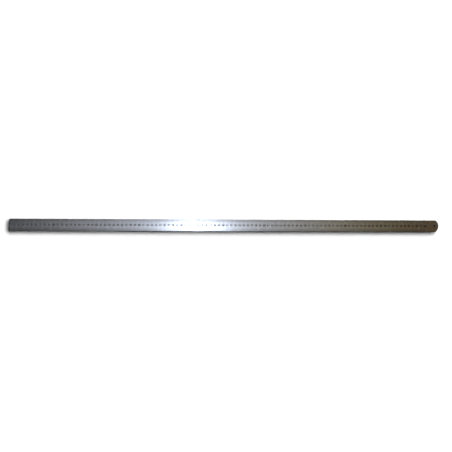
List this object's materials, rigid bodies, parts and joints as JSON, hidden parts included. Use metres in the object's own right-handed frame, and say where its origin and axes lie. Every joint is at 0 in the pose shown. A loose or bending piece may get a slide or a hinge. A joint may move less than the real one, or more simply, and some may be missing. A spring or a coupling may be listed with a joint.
{
  "type": "steel rule",
  "caption": "Long flat steel rule with a square zero end, black enamel metric scales along both edges, centred figures and a hanging hole in its rounded tail.",
  "frame": {"origin": "zero datum of the scale: the square end face, at mid-width and at the underside", "axes": "+X along the scale towards the hanging hole, so X reads the rule; +Y towards the upper edge; +Z out of the graduated face"},
  "size_m": [1.035, 0.028, 0.001],
  "materials": {
    "spring_steel": "satin, ground lengthwise",
    "line_enamel": "baked black enamel, a thin film on the face",
    "figure_enamel": "baked black enamel, a thin film on the face"
  },
  "bodies": {
    "root": {"blade": "spring_steel", "upper_millimetre_lines": "line_enamel", "upper_half_centimetre_lines": "line_enamel", "upper_centimetre_lines": "line_enamel", "lower_millimetre_lines": "line_enamel", "lower_half_centimetre_lines": "line_enamel", "lower_centimetre_lines": "line_enamel", "figures_01_to_09": "figure_enamel", "figures_11_to_19": "figure_enamel", "figures_21_to_29": "figure_enamel", "figures_31_to_39": "figure_enamel", "figures_41_to_49": "figure_enamel", "figures_51_to_59": "figure_enamel", "figures_61_to_69": "figure_enamel", "figures_71_to_79": "figure_enamel", "figures_81_to_89": "figure_enamel", "figures_91_to_99": "figure_enamel", "decade_figures": "figure_enamel"}
  },
  "joints": []
}
